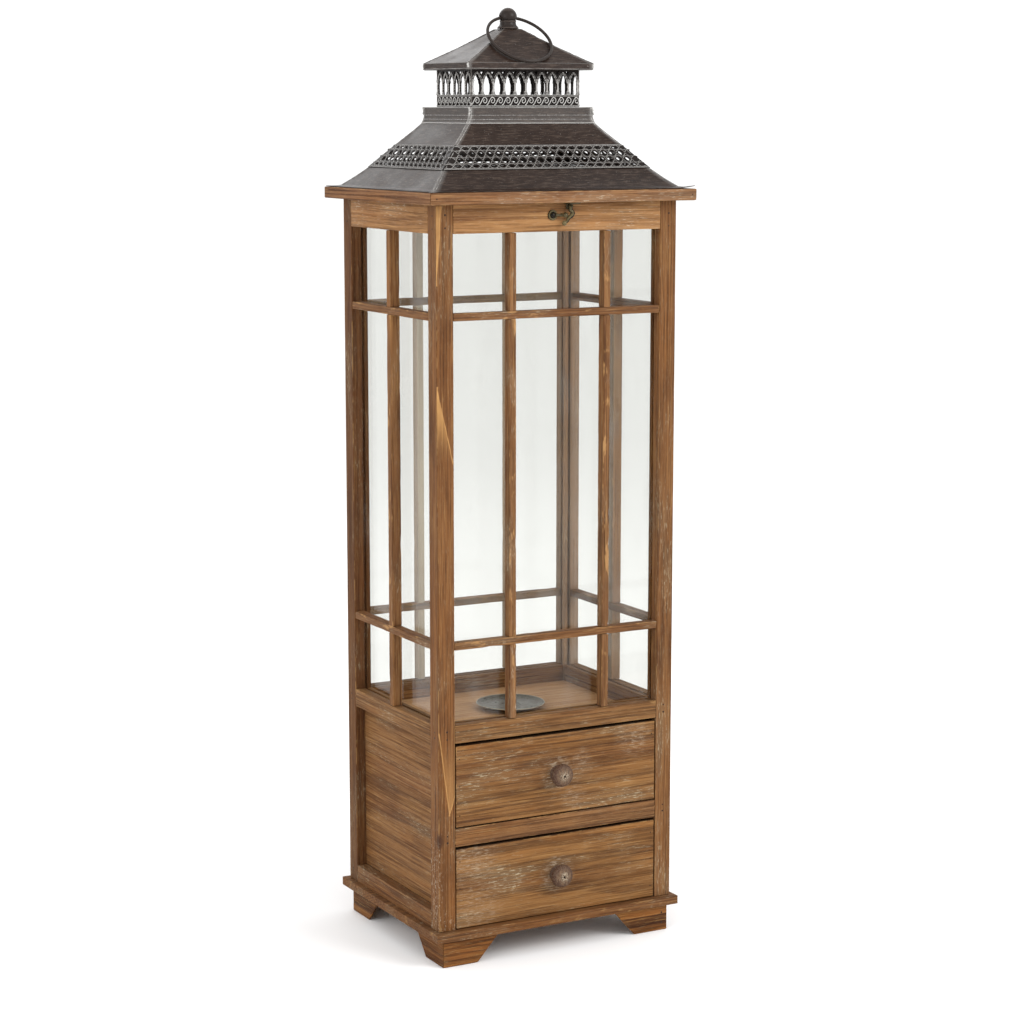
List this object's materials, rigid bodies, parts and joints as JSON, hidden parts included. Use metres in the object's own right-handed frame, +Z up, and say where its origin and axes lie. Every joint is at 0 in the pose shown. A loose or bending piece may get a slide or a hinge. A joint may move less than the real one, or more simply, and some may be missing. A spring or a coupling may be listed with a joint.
{
  "type": "lantern",
  "caption": "Tall wooden floor lantern: glazed candle chamber over two drawers on bracket feet, hinged lid with a metal pagoda hood, arcaded vent, latch and ring.",
  "frame": {"origin": "on the floor, under the middle of the object", "axes": "+Z up, -Y towards the front with the drawers and the latch, +X to the right seen from the front"},
  "size_m": [0.31, 0.255, 0.99],
  "materials": {
    "stained_pine": "stained and lightly whitewashed softwood, matt",
    "raw_pine": "thinly stained softwood, matt",
    "turned_pine": "turned, stained and rubbed back",
    "pewter_sheet": "dark bronze-grey sheet, raised work brushed with silver",
    "pewter_cast": "dark bronze-grey, satin",
    "antique_bronze": "darkened antique bronze",
    "gunmetal": "dark blue-grey, satin",
    "clear_glass": "clear, polished"
  },
  "bodies": {
    "cabinet": {"foot_front_left": "stained_pine", "foot_front_right": "stained_pine", "foot_back_left": "stained_pine", "foot_back_right": "stained_pine", "base_board": "stained_pine", "post_front_left": "stained_pine", "post_front_right": "stained_pine", "post_back_left": "stained_pine", "post_back_right": "stained_pine", "top_rail_front": "stained_pine", "top_rail_back": "stained_pine", "top_rail_left": "stained_pine", "top_rail_right": "stained_pine", "sill_rail_front": "stained_pine", "sill_rail_back": "stained_pine", "sill_rail_left": "stained_pine", "sill_rail_right": "stained_pine", "base_rail_back": "stained_pine", "base_rail_left": "stained_pine", "base_rail_right": "stained_pine", "lower_panel_back": "stained_pine", "lower_panel_left": "stained_pine", "lower_panel_right": "stained_pine", "glass_front": "clear_glass", "glass_back": "clear_glass", "glass_left": "clear_glass", "glass_right": "clear_glass", "lattice_front": "stained_pine", "lattice_back": "stained_pine", "lattice_left": "stained_pine", "lattice_right": "stained_pine", "candle_deck": "raw_pine", "deck_cleat_left": "stained_pine", "deck_cleat_right": "stained_pine", "drawer_web_frame": "stained_pine", "candle_dish": "gunmetal", "hinge_cabinet_leaf_left": "antique_bronze", "hinge_cabinet_leaf_right": "antique_bronze", "latch_keeper": "antique_bronze"},
    "drawer_upper": {"drawer_front_upper": "stained_pine", "drawer_box_upper": "raw_pine", "drawer_bottom_upper": "raw_pine", "drawer_knob_upper": "turned_pine"},
    "drawer_lower": {"drawer_front_lower": "stained_pine", "drawer_box_lower": "raw_pine", "drawer_bottom_lower": "raw_pine", "drawer_knob_lower": "turned_pine"},
    "lid": {"lid_frame": "stained_pine", "hood_skirt": "pewter_sheet", "hood_filigree_band": "pewter_sheet", "hood_shoulder": "pewter_sheet", "hood_collar": "pewter_sheet", "vent_gallery": "pewter_sheet", "cap_roof": "pewter_sheet", "finial": "pewter_cast", "hinge_lid_leaf_left": "antique_bronze", "hinge_lid_leaf_right": "antique_bronze", "latch_bracket": "antique_bronze"},
    "latch_lever": {"latch_lever": "antique_bronze"},
    "carrying_ring": {"carrying_ring": "pewter_cast"}
  },
  "joints": [
    {"name": "lid_hinge", "type": "hinge", "parent": "cabinet", "child": "lid", "pos_m": [0, 0.1142, 0.7886], "axis": [-1, 0, 0], "range_deg": [0, 100]},
    {"name": "latch_pivot", "type": "hinge", "parent": "lid", "child": "latch_lever", "pos_m": [0.0106, -0.1163, 0.7874], "axis": [0, -1, 0], "range_deg": [0, 75]},
    {"name": "ring_pivot", "type": "hinge", "parent": "lid", "child": "carrying_ring", "pos_m": [0, 0, 0.9796], "axis": [-1, 0, 0], "range_deg": [0, 261]},
    {"name": "drawer_upper_slide", "type": "slide", "parent": "cabinet", "child": "drawer_upper", "axis": [0, -1, 0], "range_m": [0, 0.15]},
    {"name": "drawer_lower_slide", "type": "slide", "parent": "cabinet", "child": "drawer_lower", "axis": [0, -1, 0], "range_m": [0, 0.15]}
  ]
}
